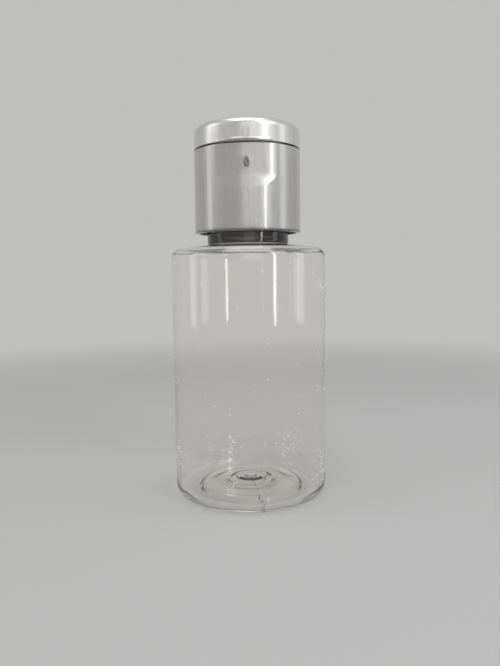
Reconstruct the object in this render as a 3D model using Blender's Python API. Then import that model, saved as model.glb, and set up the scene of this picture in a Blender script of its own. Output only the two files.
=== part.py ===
"""A 30 ml clear PET bottle with a silver flip-top closure on an 18 mm screw neck.

Metres, +Z up. The origin is the middle of the bottle's foot, the front faces -Y and the
hinge of the lid is at +Y. The closure is drawn shut and screwed home.
"""

import math

import bmesh
import bpy
from mathutils import Vector

MM = 0.001

# Bottle body
BODY_DIAMETER = 30.0 * MM
BODY_HEIGHT = 49.0 * MM  # floor to the root of the neck
BODY_WALL = 0.6 * MM
SHOULDER_RADIUS = 1.8 * MM
SHOULDER_RISE = 0.75 * MM  # from the shoulder's rounded corner up to the neck
HEEL_RADIUS = 1.9 * MM

# Foot of the bottle: a flat ring to stand on round a stepped push-up
FOOT_WALL = 0.9 * MM
PUSH_UP_DIAMETER = 18.8 * MM
PUSH_UP_STEP = 0.8 * MM
PUSH_UP_SLOPE = 0.7 * MM  # width of the sloping side of the step
PUSH_UP_CROWN = 0.7 * MM
BUTTON_DIAMETER = 7.4 * MM
BUTTON_RISE = 0.5 * MM
BUTTON_SLOPE = 0.4 * MM
GATE_DIAMETER = 2.0 * MM
GATE_DROP = 0.3 * MM

# Neck finish: 18 mm, one and a half turns of right-hand thread
NECK_DIAMETER = 15.8 * MM
NECK_LENGTH = 13.3 * MM
NECK_WALL = 1.3 * MM
NECK_FILLET = 0.4 * MM
LIP_CHAMFER = 0.25 * MM
THREAD_PITCH = 3.175 * MM
THREAD_TURNS = 1.5
THREAD_HEIGHT = 0.95 * MM
THREAD_ROOT_WIDTH = 1.9 * MM
THREAD_CREST_WIDTH = 0.8 * MM
THREAD_BELOW_LIP = 1.8 * MM  # from the lip to the middle of the thread's upper end

# Closure base: skirt, deck and dish. The spout is a piece of its own, though moulded in one with it
CLOSURE_STANDOFF = 2.1 * MM  # bare neck between the shoulder and the skirt
THREAD_CLEARANCE = 0.3 * MM
SKIRT_WALL = 1.1 * MM
SKIRT_DRAFT = 0.05 * MM  # how much wider the skirt's open end is, on the radius
SKIRT_EDGE = 0.2 * MM
SKIRT_LEAD_DEPTH = 1.0 * MM
SKIRT_LEAD_WIDTH = 0.25 * MM
INNER_THREAD_HEIGHT = 0.9 * MM
INNER_THREAD_ROOT_WIDTH = 1.3 * MM
INNER_THREAD_CREST_WIDTH = 0.5 * MM
INNER_THREAD_TURNS = 1.25
INNER_THREAD_PLAY = 0.3 * MM
LINER_THICKNESS = 0.8 * MM
LINER_HOLE_DIAMETER = 8.4 * MM
LINER_GAP = 0.1 * MM
LINER_BEAD = 0.2 * MM
DECK_THICKNESS = 1.1 * MM
DISH_DEPTH = 2.3 * MM  # from the seam down to the deck
RIM_WALL = 1.25 * MM
SPOUT_HEIGHT = 3.4 * MM
SPOUT_FOOT_DIAMETER = 6.2 * MM
SPOUT_TOP_DIAMETER = 4.6 * MM
SPOUT_EDGE = 0.4 * MM
SPOUT_SEAT_DIAMETER = 8.0 * MM  # the middle of the deck, which is drawn with the spout
SPOUT_SEAT_GAP = 0.1 * MM
ORIFICE_DIAMETER = 2.8 * MM

# Thumb recess in the front of the closure base
RECESS_WIDTH = 11.1 * MM
RECESS_DEPTH = 0.5 * MM
RECESS_HEIGHT = 8.0 * MM
RECESS_RUN_OUT = 2.5 * MM
RECESS_RUN_OUT_POWER = 3  # how late the run-out turns outwards, which makes its corners fuller
GATE_MARK_BELOW_SEAM = 3.6 * MM
GATE_MARK_WIDTH = 1.1 * MM
GATE_MARK_HEIGHT = 2.0 * MM
GATE_MARK_DEPTH = 0.2 * MM

# Lid
LID_HEIGHT = 4.5 * MM
LID_TOP_RADIUS = 1.2 * MM
LID_WALL = 1.1 * MM
LID_TOP_WALL = 1.1 * MM
LID_RING_WALL = 0.7 * MM
LID_RING_DROP = 0.85 * MM  # how far the locking ring reaches below the seam
LID_RING_BEAD = 0.12 * MM
LID_RING_BEAD_HEIGHT = 0.5 * MM
PIN_ENTRY = 1.8 * MM
PIN_TIP_TAPER = 0.35 * MM
THUMB_LIP_REACH = 0.5 * MM
THUMB_LIP_HEIGHT = 0.7 * MM
THUMB_LIP_EDGE = 0.15 * MM

# Moulded snap hinge at the back: two pads, a film between them and two spring straps
SEAM_GAP = 0.3 * MM
SEAM_SETBACK = 0.12 * MM  # how far the pads and the thumb lip keep back from the seam's faces
FIT_GAP = 0.3 * MM
PAD_WIDTH = 8.8 * MM
PAD_STAND = 0.15 * MM  # how far the pads' flat faces stand off the round wall
PAD_LENGTH = 1.9 * MM
PAD_SLOPE = 0.8 * MM
FILM_WIDTH = 4.2 * MM
FILM_THICKNESS = 0.3 * MM
FILM_BEND_RADIUS = 0.6 * MM
FILM_GAP = 0.1 * MM
STRAP_WIDTH = 1.1 * MM
STRAP_THICKNESS = 0.35 * MM
STRAP_REACH = 1.35 * MM  # how far a strap runs up and down from the seam
STRAP_BOW = 0.3 * MM
STRAP_GAP = 0.15 * MM
STRAP_BETWEEN_FILM = 0.5 * MM  # land between the film and a strap's pocket

# Drawing
STEPS_AROUND = 48
OVERRUN = 1.0 * MM  # how far a cutter goes past what it cuts
SINK = 0.3 * MM  # how far a joined shape goes into what carries it
WELD = 0.001 * MM
SIDES = (("left", -1), ("right", 1))
THREAD_END_ANGLE = math.pi / STEPS_AROUND  # half a facet round from +X

# Places that follow from the sizes above
BODY_RADIUS = BODY_DIAMETER / 2
NECK_RADIUS = NECK_DIAMETER / 2
NECK_BORE_RADIUS = NECK_RADIUS - NECK_WALL
THREAD_RADIUS = NECK_RADIUS + THREAD_HEIGHT
LIP_Z = BODY_HEIGHT + NECK_LENGTH
SKIRT_BORE_RADIUS = THREAD_RADIUS + THREAD_CLEARANCE
CLOSURE_RADIUS = SKIRT_BORE_RADIUS + SKIRT_WALL
SKIRT_BOTTOM_Z = BODY_HEIGHT + CLOSURE_STANDOFF
# heights below are in the closure's own frame, from the skirt's open end
LIP_LEVEL = NECK_LENGTH - CLOSURE_STANDOFF
LINER_LEVEL = LIP_LEVEL + LINER_GAP
DECK_UNDERSIDE = LINER_LEVEL + LINER_THICKNESS + LINER_GAP
DECK_TOP = DECK_UNDERSIDE + DECK_THICKNESS
SEAM_LEVEL = DECK_TOP + DISH_DEPTH
RIM_LEVEL = SEAM_LEVEL - SEAM_GAP / 2
DISH_RADIUS = CLOSURE_RADIUS - RIM_WALL
SPOUT_SEAT_RADIUS = SPOUT_SEAT_DIAMETER / 2
ORIFICE_RADIUS = ORIFICE_DIAMETER / 2
# the film's bend is centred on the lid's turning axis
PAD_FACE_Y = CLOSURE_RADIUS + PAD_STAND
HINGE_Y = PAD_FACE_Y + FILM_GAP


def arc(centre, radius, start, end, steps):
    """Points of an arc in (r, z), from the start angle to the end angle in degrees."""
    points = []
    for i in range(steps + 1):
        angle = math.radians(start + (end - start) * i / steps)
        points.append(
            (centre[0] + radius * math.cos(angle), centre[1] + radius * math.sin(angle))
        )
    return points


def finish_mesh(name, bm, material=None):
    """Turns a bmesh into an object whose faces point outwards, shaded smooth but for sharp edges."""
    bmesh.ops.remove_doubles(bm, verts=bm.verts, dist=WELD)
    bmesh.ops.recalc_face_normals(bm, faces=bm.faces)
    mesh = bpy.data.meshes.new(name)
    bm.to_mesh(mesh)
    bm.free()
    mesh.shade_smooth()
    mesh.set_sharp_from_angle(angle=math.radians(35))
    if material:
        mesh.materials.append(material)
    obj = bpy.data.objects.new(name, mesh)
    bpy.context.scene.collection.objects.link(obj)
    return obj


def turned(name, profile, material=None, closed=False):
    """A turned solid. The profile is a list of (radius, z), open from axis to axis or a closed loop."""
    bm = bmesh.new()
    verts = [bm.verts.new((r, 0, z)) for r, z in profile]
    pairs = list(zip(verts, verts[1:]))
    if closed:
        pairs.append((verts[-1], verts[0]))
    edges = [bm.edges.new(pair) for pair in pairs]
    bmesh.ops.spin(
        bm, geom=verts + edges, axis=(0, 0, 1), cent=(0, 0, 0),
        steps=STEPS_AROUND, angle=math.tau, use_merge=True,
    )
    return finish_mesh(name, bm, material)


def lofted(name, rings, material=None):
    """A solid skinned over rings of equal point counts, with a flat cap at each end."""
    bm = bmesh.new()
    rows = [[bm.verts.new(point) for point in ring] for ring in rings]
    for low, high in zip(rows, rows[1:]):
        for i in range(len(low)):
            j = (i + 1) % len(low)
            bm.faces.new((low[i], low[j], high[j], high[i]))
    bm.faces.new(rows[0])
    bm.faces.new(rows[-1])
    return finish_mesh(name, bm, material)


def extruded_across(name, outline, x_low, x_high, material=None):
    """A solid with a constant (y, z) outline between two places along X."""
    return lofted(name, [[(x, y, z) for y, z in outline] for x in (x_low, x_high)], material)


def box(name, low, high):
    """A plain block between two corners."""
    outline = [(low[1], low[2]), (high[1], low[2]), (high[1], high[2]), (low[1], high[2])]
    return extruded_across(name, outline, low[0], high[0])


def combine(obj, other, operation):
    """Cuts the other shape from the object or joins it on, and keeps the other as a hidden guide."""
    modifier = obj.modifiers.new(other.name, "BOOLEAN")
    modifier.operation = operation
    modifier.solver = "EXACT"
    modifier.object = other
    other.hide_render = True
    other.display_type = "WIRE"
    return obj


def thread_ridge(name, root_radius, reach, root_width, crest_width, middle_top, turns, start):
    """A right-hand thread ridge that fades out at both ends.

    reach is outwards from the root when positive and inwards when negative. middle_top is the
    height of the ridge's middle at its upper end, and start the angle of that end.
    """
    steps = round(STEPS_AROUND * turns)
    fade_steps = max(2, round(STEPS_AROUND / 12))
    half_crest = crest_width / 2
    # the flanks run on at their own slope to where the ridge ends inside the wall
    half_foot = half_crest + (root_width / 2 - half_crest) * (abs(reach) + SINK) / abs(reach)
    foot = root_radius - math.copysign(SINK, reach)
    rings = []
    for i in range(steps + 1):
        angle = start - math.tau * turns * i / steps
        middle = middle_top - THREAD_PITCH * turns * i / steps
        fade = min(1.0, (min(i, steps - i) + 0.25) / fade_steps)
        crest = root_radius + reach * fade
        section = [
            (foot, middle - half_foot),
            (crest, middle - half_crest),
            (crest, middle + half_crest),
            (foot, middle + half_foot),
        ]
        rings.append([(r * math.cos(angle), r * math.sin(angle), z) for r, z in section])
    return lofted(name, rings)


def make_material(name, colour, roughness, metallic=0.0, alpha=1.0, transmission=0.0):
    material = bpy.data.materials.new(name)
    material.use_nodes = True
    shader = material.node_tree.nodes["Principled BSDF"]
    shader.inputs["Base Color"].default_value = (*colour, 1.0)
    shader.inputs["Roughness"].default_value = roughness
    shader.inputs["Metallic"].default_value = metallic
    shader.inputs["Alpha"].default_value = alpha
    shader.inputs["Transmission Weight"].default_value = transmission
    return material


def bottle_outside():
    """The outside of the bottle, from the middle of the foot up to the lip."""
    foot_radius = BODY_RADIUS - HEEL_RADIUS
    step_radius = PUSH_UP_DIAMETER / 2
    button_radius = BUTTON_DIAMETER / 2
    crown = PUSH_UP_STEP + PUSH_UP_CROWN
    button = crown + BUTTON_RISE
    gate_radius = GATE_DIAMETER / 2
    corner_z = BODY_HEIGHT - SHOULDER_RISE - SHOULDER_RADIUS
    corner_radius = BODY_RADIUS - SHOULDER_RADIUS
    fillet_radius = NECK_RADIUS + NECK_FILLET
    return [
        (0, button - GATE_DROP),
        (gate_radius - GATE_DROP, button - GATE_DROP),
        (gate_radius, button),
        (button_radius - BUTTON_SLOPE, button),
        (button_radius, crown),
        ((button_radius + step_radius) / 2, PUSH_UP_STEP + PUSH_UP_CROWN * 3 / 4),
        (step_radius, PUSH_UP_STEP),
        (step_radius + PUSH_UP_SLOPE, 0),
        *arc((foot_radius, HEEL_RADIUS), HEEL_RADIUS, -90, 0, 5),
        (BODY_RADIUS, (HEEL_RADIUS + corner_z) / 2),
        *arc((corner_radius, corner_z), SHOULDER_RADIUS, 0, 82, 5),
        *arc((fillet_radius, BODY_HEIGHT + NECK_FILLET), NECK_FILLET, 262, 180, 3),
        (NECK_RADIUS, LIP_Z - LIP_CHAMFER),
        (NECK_RADIUS - LIP_CHAMFER, LIP_Z),
    ]


def bottle_inside():
    """The inside of the bottle, from the lip down to the middle of the foot."""
    wall_radius = BODY_RADIUS - BODY_WALL
    step_radius = PUSH_UP_DIAMETER / 2
    button_radius = BUTTON_DIAMETER / 2
    crown = PUSH_UP_STEP + PUSH_UP_CROWN + FOOT_WALL
    heel = HEEL_RADIUS - BODY_WALL
    corner_z = BODY_HEIGHT - SHOULDER_RISE - SHOULDER_RADIUS
    corner = SHOULDER_RADIUS - BODY_WALL
    fillet = NECK_FILLET + NECK_WALL
    return [
        (NECK_BORE_RADIUS, LIP_Z),
        *arc((NECK_BORE_RADIUS + fillet, BODY_HEIGHT - BODY_WALL + fillet), fillet, 180, 262, 4),
        *arc((wall_radius - corner, corner_z), corner, 82, 0, 4),
        (wall_radius, (HEEL_RADIUS + corner_z) / 2),
        *arc((wall_radius - heel, FOOT_WALL + heel), heel, 0, -90, 4),
        (step_radius + PUSH_UP_SLOPE + FOOT_WALL / 2, FOOT_WALL),
        (step_radius, PUSH_UP_STEP + FOOT_WALL),
        ((button_radius + step_radius) / 2, PUSH_UP_STEP + PUSH_UP_CROWN * 3 / 4 + FOOT_WALL),
        (button_radius, crown),
        (button_radius - BUTTON_SLOPE, crown + BUTTON_RISE),
        (0, crown + BUTTON_RISE),
    ]


def make_bottle(material):
    """The blown body with its threaded neck, one piece of PET."""
    bottle = turned("bottle", bottle_outside() + bottle_inside(), material)
    ridge = thread_ridge(
        "neck_thread", NECK_RADIUS, THREAD_HEIGHT, THREAD_ROOT_WIDTH, THREAD_CREST_WIDTH,
        LIP_Z - THREAD_BELOW_LIP, THREAD_TURNS, THREAD_END_ANGLE,
    )
    return combine(bottle, ridge, "UNION")


def closure_profile():
    """Half section of the closure base, a closed loop from the skirt's open end upwards."""
    open_radius = CLOSURE_RADIUS + SKIRT_DRAFT
    lead_radius = SKIRT_BORE_RADIUS + SKIRT_LEAD_WIDTH
    bead_z = LIP_LEVEL - LINER_BEAD
    dish_fillet = SPOUT_EDGE
    seat_radius = SPOUT_SEAT_RADIUS + SPOUT_SEAT_GAP
    return [
        (lead_radius, 0),
        (open_radius - SKIRT_EDGE, 0),
        (open_radius, SKIRT_EDGE),
        (CLOSURE_RADIUS, RIM_LEVEL - SKIRT_EDGE / 2),
        (CLOSURE_RADIUS - SKIRT_EDGE / 2, RIM_LEVEL),
        (DISH_RADIUS + SKIRT_EDGE, RIM_LEVEL),
        (DISH_RADIUS, RIM_LEVEL - SKIRT_EDGE),
        *arc((DISH_RADIUS - dish_fillet, DECK_TOP + dish_fillet), dish_fillet, 0, -90, 2),
        (seat_radius, DECK_TOP),
        (seat_radius, DECK_UNDERSIDE),
        (SKIRT_BORE_RADIUS, DECK_UNDERSIDE),
        (SKIRT_BORE_RADIUS, LIP_LEVEL),
        (SKIRT_BORE_RADIUS - LINER_BEAD, bead_z),
        (SKIRT_BORE_RADIUS, bead_z - LINER_BEAD),
        (SKIRT_BORE_RADIUS, SKIRT_LEAD_DEPTH),
        (lead_radius, SKIRT_LEAD_DEPTH - SKIRT_LEAD_WIDTH),
    ]


def spout_profile():
    """Half section of the spout and the middle of the deck, a closed loop round the orifice's wall."""
    spout_top = DECK_TOP + SPOUT_HEIGHT
    foot_radius = SPOUT_FOOT_DIAMETER / 2
    top_radius = SPOUT_TOP_DIAMETER / 2
    return [
        (ORIFICE_RADIUS, DECK_UNDERSIDE),
        (SPOUT_SEAT_RADIUS, DECK_UNDERSIDE),
        (SPOUT_SEAT_RADIUS, DECK_TOP),
        *arc((foot_radius + SPOUT_EDGE, DECK_TOP + SPOUT_EDGE), SPOUT_EDGE, 270, 195, 3),
        *arc((top_radius - SPOUT_EDGE, spout_top - SPOUT_EDGE), SPOUT_EDGE, 10, 90, 3),
        (ORIFICE_RADIUS, spout_top),
    ]


def chord_arc_radius(half_width, middle_radius):
    """Radius of the arc through the closure's wall at +-half_width and middle_radius at the front."""
    edge = math.sqrt(CLOSURE_RADIUS**2 - half_width**2)
    rise = middle_radius - edge
    return (half_width**2 + rise**2) / (2 * rise)


def bowed_slab(name, rows, arc_radius, half_width, back):
    """A solid at the front. One face is bowed in plan and follows rows of (z, middle radius).

    back is its other face in plan, a list of (x, y) from +X to -X.
    """
    columns = 14
    xs = [half_width * (2 * i / columns - 1) for i in range(columns + 1)]
    rings = []
    for z, middle in rows:
        bowed = [(x, arc_radius - middle - math.sqrt(arc_radius**2 - x**2), z) for x in xs]
        rings.append(bowed + [(x, y, z) for x, y in back])
    return lofted(name, rings)


def thumb_recess_cutter():
    """The scoop under the lid's front edge: flatter than the wall, with a curved run-out below."""
    half_width = RECESS_WIDTH / 2
    deepest = CLOSURE_RADIUS - RECESS_DEPTH
    run_out_start = SEAM_LEVEL - RECESS_HEIGHT + RECESS_RUN_OUT
    rows = [(SEAM_LEVEL + OVERRUN, deepest)]
    run_out_steps = 7
    past_wall_share = 1.25
    for i in range(run_out_steps + 1):
        share = past_wall_share * i / run_out_steps
        rise = RECESS_DEPTH * share**RECESS_RUN_OUT_POWER
        rows.append((run_out_start - RECESS_RUN_OUT * share, deepest + rise))
    half_slab = half_width + OVERRUN
    front = -(CLOSURE_RADIUS + OVERRUN)
    return bowed_slab(
        "thumb_recess_cutter", rows[::-1], chord_arc_radius(half_width, deepest),
        half_slab, [(half_slab, front), (-half_slab, front)],
    )


def gate_mark_cutter():
    """The shallow oval dimple that the moulding gate leaves in the thumb recess."""
    half = GATE_MARK_WIDTH / 2
    ball = (half**2 + GATE_MARK_DEPTH**2) / (2 * GATE_MARK_DEPTH)
    bm = bmesh.new()
    bmesh.ops.create_uvsphere(bm, u_segments=16, v_segments=20, radius=ball)
    forward = Vector((0, 0, 1)).rotation_difference(Vector((0, 1, 0)))
    bmesh.ops.rotate(bm, verts=bm.verts, matrix=forward.to_matrix())
    bmesh.ops.scale(bm, verts=bm.verts, vec=(1, 1, GATE_MARK_HEIGHT / GATE_MARK_WIDTH))
    face_y = -(CLOSURE_RADIUS - RECESS_DEPTH)
    centre = Vector((0, face_y + GATE_MARK_DEPTH - ball, SEAM_LEVEL - GATE_MARK_BELOW_SEAM))
    bmesh.ops.translate(bm, verts=bm.verts, vec=centre)
    return finish_mesh("gate_mark_cutter", bm)


def hinge_pad(name, edge, away):
    """A flat-faced pad on the round wall. It starts at the height edge and runs up or down."""
    inner = DISH_RADIUS + (CLOSURE_RADIUS - DISH_RADIUS) / 8
    start = edge + away * SEAM_SETBACK
    end = edge + away * PAD_LENGTH
    outline = [
        (inner, start),
        (PAD_FACE_Y, start),
        (PAD_FACE_Y, end),
        (CLOSURE_RADIUS - PAD_STAND, end + away * PAD_SLOPE),
        (inner, end + away * PAD_SLOPE),
    ]
    return extruded_across(name, outline, -PAD_WIDTH / 2, PAD_WIDTH / 2)


def strap_x(side):
    """The inner and outer X of a spring strap on one side of the film."""
    inner = FILM_WIDTH / 2 + STRAP_BETWEEN_FILM
    return sorted((side * inner, side * (inner + STRAP_WIDTH)))


def strap_pocket_cutter(name, side, edge, away):
    """The groove in a pad that one end of a spring strap lies in."""
    low_x, high_x = strap_x(side)
    depth = STRAP_THICKNESS + 2 * STRAP_GAP
    ends = sorted((edge - away * OVERRUN, edge + away * (STRAP_REACH - SEAM_GAP / 2 + STRAP_GAP)))
    return box(
        name,
        (low_x - STRAP_GAP, PAD_FACE_Y - depth, ends[0]),
        (high_x + STRAP_GAP, PAD_FACE_Y + OVERRUN, ends[1]),
    )


def make_closure_base(material):
    """Skirt, inner thread, deck, thumb recess and the lower half of the hinge."""
    base = turned("closure_base", closure_profile(), material, closed=True)
    thread_middle = NECK_LENGTH - CLOSURE_STANDOFF - THREAD_BELOW_LIP
    root_half = (THREAD_ROOT_WIDTH + THREAD_CREST_WIDTH) / 4
    inner_half = (INNER_THREAD_ROOT_WIDTH + INNER_THREAD_CREST_WIDTH) / 4
    below_neck_thread = root_half + inner_half + INNER_THREAD_PLAY
    ridge = thread_ridge(
        "closure_thread", SKIRT_BORE_RADIUS, -INNER_THREAD_HEIGHT, INNER_THREAD_ROOT_WIDTH,
        INNER_THREAD_CREST_WIDTH, thread_middle - below_neck_thread, INNER_THREAD_TURNS,
        THREAD_END_ANGLE,
    )
    combine(base, ridge, "UNION")
    combine(base, hinge_pad("base_hinge_pad", RIM_LEVEL, -1), "UNION")
    for hand, side in SIDES:
        cutter = strap_pocket_cutter(f"base_pocket_cutter_{hand}", side, RIM_LEVEL, -1)
        combine(base, cutter, "DIFFERENCE")
    combine(base, thumb_recess_cutter(), "DIFFERENCE")
    combine(base, gate_mark_cutter(), "DIFFERENCE")
    return base


def lid_profile():
    """Half section of the lid, from the middle of its top round to the tip of the sealing pin."""
    bottom = SEAM_GAP / 2
    ceiling = LID_HEIGHT - LID_TOP_WALL
    corner = (CLOSURE_RADIUS - LID_TOP_RADIUS, LID_HEIGHT - LID_TOP_RADIUS)
    wall_radius = CLOSURE_RADIUS - LID_WALL
    ring_radius = DISH_RADIUS - FIT_GAP
    ring_inner = ring_radius - LID_RING_WALL
    bead_z = -LID_RING_DROP + LID_RING_BEAD_HEIGHT / 2
    pin_radius = ORIFICE_RADIUS - FIT_GAP
    pin_tip = DECK_TOP + SPOUT_HEIGHT - PIN_ENTRY - SEAM_LEVEL
    return [
        (0, LID_HEIGHT),
        (corner[0] / 2, LID_HEIGHT),
        *arc(corner, LID_TOP_RADIUS, 90, 0, 5),
        (CLOSURE_RADIUS, bottom + SKIRT_EDGE / 2),
        (CLOSURE_RADIUS - SKIRT_EDGE / 2, bottom),
        (wall_radius, bottom),
        (wall_radius, ceiling),
        (ring_radius, ceiling),
        (ring_radius, bead_z + LID_RING_BEAD_HEIGHT / 2),
        (ring_radius + LID_RING_BEAD, bead_z),
        (ring_radius, -LID_RING_DROP),
        (ring_inner, -LID_RING_DROP),
        (ring_inner, ceiling),
        (pin_radius + FIT_GAP, ceiling),
        (pin_radius, ceiling - FIT_GAP),
        (pin_radius, pin_tip + PIN_TIP_TAPER),
        (pin_radius - PIN_TIP_TAPER, pin_tip),
        (0, pin_tip),
    ]


def thumb_lip():
    """The crescent that stands out at the lid's front edge, with a hollowed upper face."""
    bottom = SEAM_GAP / 2 + SEAM_SETBACK
    half_width = RECESS_WIDTH / 2
    outermost = CLOSURE_RADIUS + THUMB_LIP_REACH
    back_radius = CLOSURE_RADIUS - LID_WALL * 3 / 4
    back = []
    for i in range(9):
        x = half_width * (1 - i / 4)
        back.append((x, -math.sqrt(back_radius**2 - x**2)))
    rows = [
        (bottom, outermost - THUMB_LIP_EDGE / 2),
        (bottom + THUMB_LIP_EDGE, outermost),
    ]
    steps = 4
    below_wall_share = 1.3
    for i in range(1, steps + 1):
        share = i / steps
        fall = THUMB_LIP_REACH * below_wall_share * math.sin(share * math.pi / 2)
        rise = THUMB_LIP_EDGE + (THUMB_LIP_HEIGHT - THUMB_LIP_EDGE) * share
        rows.append((bottom + rise, outermost - fall))
    return bowed_slab(
        "thumb_lip", rows, chord_arc_radius(half_width, outermost),
        half_width, back,
    )


def make_lid(material):
    """The flip lid in its own frame: z is zero at the seam and the bottle's axis is x = y = 0."""
    lid = turned("flip_lid", lid_profile(), material)
    combine(lid, hinge_pad("lid_hinge_pad", SEAM_GAP / 2, 1), "UNION")
    for hand, side in SIDES:
        cutter = strap_pocket_cutter(f"lid_pocket_cutter_{hand}", side, SEAM_GAP / 2, 1)
        combine(lid, cutter, "DIFFERENCE")
    combine(lid, thumb_lip(), "UNION")
    return lid


def make_liner(material):
    """The soft washer that seals the closure's deck against the bottle's lip."""
    outer = SKIRT_BORE_RADIUS - FIT_GAP
    hole = LINER_HOLE_DIAMETER / 2
    top = LINER_THICKNESS
    return turned("sealing_liner", [(hole, 0), (outer, 0), (outer, top), (hole, top)], material, True)


def make_hinge_film(material):
    """The thin web that the lid turns on, bent in a half round over the seam."""
    inner = FILM_BEND_RADIUS - FILM_THICKNESS
    outline = arc((0, 0), FILM_BEND_RADIUS, -90, 90, 8) + arc((0, 0), inner, 90, -90, 8)
    return extruded_across("hinge_film", outline, -FILM_WIDTH / 2, FILM_WIDTH / 2, material)


def make_hinge_strap(name, side, material):
    """A spring strap that lies in the pads' pockets and bows out a little over the seam."""
    inner_y = -FILM_GAP - STRAP_GAP - STRAP_THICKNESS
    steps = 6
    front, back = [], []
    for i in range(steps + 1):
        share = 2 * i / steps - 1
        bow = STRAP_BOW * (1 - share**2)
        front.append((inner_y + STRAP_THICKNESS + bow, STRAP_REACH * share))
        back.append((inner_y + bow, STRAP_REACH * share))
    low_x, high_x = strap_x(side)
    return extruded_across(name, front + back[::-1], low_x, high_x, material)


def make_frame(name, location, parent=None):
    frame = bpy.data.objects.new(name, None)
    frame.location = location
    frame.parent = parent
    bpy.context.scene.collection.objects.link(frame)
    return frame


def place_with_guides(obj, frame, offset=(0, 0, 0)):
    """Puts an object in a frame, and the hidden guides that shape it in the same place."""
    for piece in [obj] + [m.object for m in obj.modifiers if m.type == "BOOLEAN"]:
        piece.parent = frame
        piece.location = offset


def build():
    for obj in list(bpy.data.objects):
        bpy.data.objects.remove(obj)

    clear_pet = make_material("clear_pet", (0.93, 0.92, 0.90), 0.05, alpha=0.3, transmission=1.0)
    silver = make_material("silver_polypropylene", (0.50, 0.51, 0.51), 0.32, metallic=0.75)
    foam = make_material("white_foam", (0.88, 0.88, 0.86), 0.8)

    make_bottle(clear_pet)

    screw_axis = make_frame("screw_axis", (0, 0, SKIRT_BOTTOM_Z))
    lid_axis = make_frame("lid_axis", (0, HINGE_Y, SEAM_LEVEL), screw_axis)
    place_with_guides(make_liner(foam), screw_axis, (0, 0, LINER_LEVEL))
    place_with_guides(make_closure_base(silver), screw_axis)
    place_with_guides(turned("spout", spout_profile(), silver, closed=True), screw_axis)
    place_with_guides(make_lid(silver), lid_axis, (0, -HINGE_Y, 0))
    place_with_guides(make_hinge_film(silver), lid_axis)
    for hand, side in SIDES:
        place_with_guides(make_hinge_strap(f"hinge_strap_{hand}", side, silver), lid_axis)


build()
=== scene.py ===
import math

import bmesh
import bpy
from mathutils import Euler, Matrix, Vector, noise


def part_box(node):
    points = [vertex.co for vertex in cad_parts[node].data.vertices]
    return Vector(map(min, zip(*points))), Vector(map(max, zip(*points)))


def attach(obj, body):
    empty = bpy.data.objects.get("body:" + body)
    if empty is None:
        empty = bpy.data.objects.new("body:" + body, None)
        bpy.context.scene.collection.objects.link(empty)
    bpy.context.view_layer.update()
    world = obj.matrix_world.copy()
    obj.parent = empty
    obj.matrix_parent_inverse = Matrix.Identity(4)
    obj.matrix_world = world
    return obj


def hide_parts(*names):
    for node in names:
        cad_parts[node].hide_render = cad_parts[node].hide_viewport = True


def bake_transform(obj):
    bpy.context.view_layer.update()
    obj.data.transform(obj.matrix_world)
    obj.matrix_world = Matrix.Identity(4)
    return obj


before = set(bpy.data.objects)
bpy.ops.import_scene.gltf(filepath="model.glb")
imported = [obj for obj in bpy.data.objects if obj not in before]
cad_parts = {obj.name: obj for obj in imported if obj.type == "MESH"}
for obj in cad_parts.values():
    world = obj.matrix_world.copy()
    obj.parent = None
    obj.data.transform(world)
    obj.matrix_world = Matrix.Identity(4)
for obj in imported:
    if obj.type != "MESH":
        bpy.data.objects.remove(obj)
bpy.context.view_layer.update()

MM = 0.001


# Camera, floor and light.
# A hand-held picture from just in front of the bottle, a little above its middle, on a plain
# pale floor that runs on into a plain pale background, under an even sky and soft area lamps.

LENS = 33.0  # mm, on a sensor of 36 mm along the picture's long side
SENSOR = 36.0
CAMERA_DISTANCE = 120.9 * MM
CAMERA_HEIGHT = 43.3 * MM
CAMERA_PITCH = math.radians(5.54)  # looking down
CAMERA_ROLL = math.radians(-0.75)
CAMERA_YAW = math.radians(0.07)
CAMERA_AROUND = math.radians(1.3)  # round to the right of the thumb recess
BACKGROUND = (0.52, 0.52, 0.51)
FLOOR_FADE = (0.12, 0.30)  # metres from the bottle where the floor runs into the background
FLOOR_RADIUS = 3.0
EVEN_LIGHT = 0.42
WHITE_LIGHT = (1.0, 1.0, 1.0)
COOL_LIGHT = (0.90, 0.96, 1.0)
WARM_LIGHT = (1.0, 0.98, 0.96)
UPRIGHT_LAMP_HEIGHT = 0.30


def add_node(tree, kind, inputs=(), **settings):
    """Adds a node. Inputs are pairs of a socket's name or number and a value or another socket."""
    node = tree.nodes.new(kind)
    for name, value in settings.items():
        setattr(node, name, value)
    for key, value in inputs:
        socket = node.inputs[key]
        if isinstance(value, bpy.types.NodeSocket):
            tree.links.new(value, socket)
        else:
            socket.default_value = value
    return node


def maths(tree, operation, *values, clamp=False):
    """Adds a Math node and gives its output."""
    node = add_node(tree, "ShaderNodeMath", enumerate(values), operation=operation, use_clamp=clamp)
    return node.outputs[0]


def new_material(name):
    """A material with only its output node, and that node."""
    material = bpy.data.materials.new(name)
    material.use_nodes = True
    material.node_tree.nodes.clear()
    return material, add_node(material.node_tree, "ShaderNodeOutputMaterial")


def linked(obj):
    bpy.context.scene.collection.objects.link(obj)
    return obj


def make_camera():
    data = bpy.data.cameras.new("camera")
    data.lens = LENS
    data.sensor_width = SENSOR
    data.clip_start = 5 * MM
    camera = linked(bpy.data.objects.new("camera", data))
    camera.location = (
        CAMERA_DISTANCE * math.sin(CAMERA_AROUND),
        -CAMERA_DISTANCE * math.cos(CAMERA_AROUND),
        CAMERA_HEIGHT,
    )
    turn = Euler((math.pi / 2 - CAMERA_PITCH, 0, CAMERA_AROUND - CAMERA_YAW)).to_matrix()
    roll = Euler((0, 0, CAMERA_ROLL)).to_matrix()
    camera.rotation_euler = (turn @ roll).to_euler()
    bpy.context.scene.camera = camera


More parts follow.
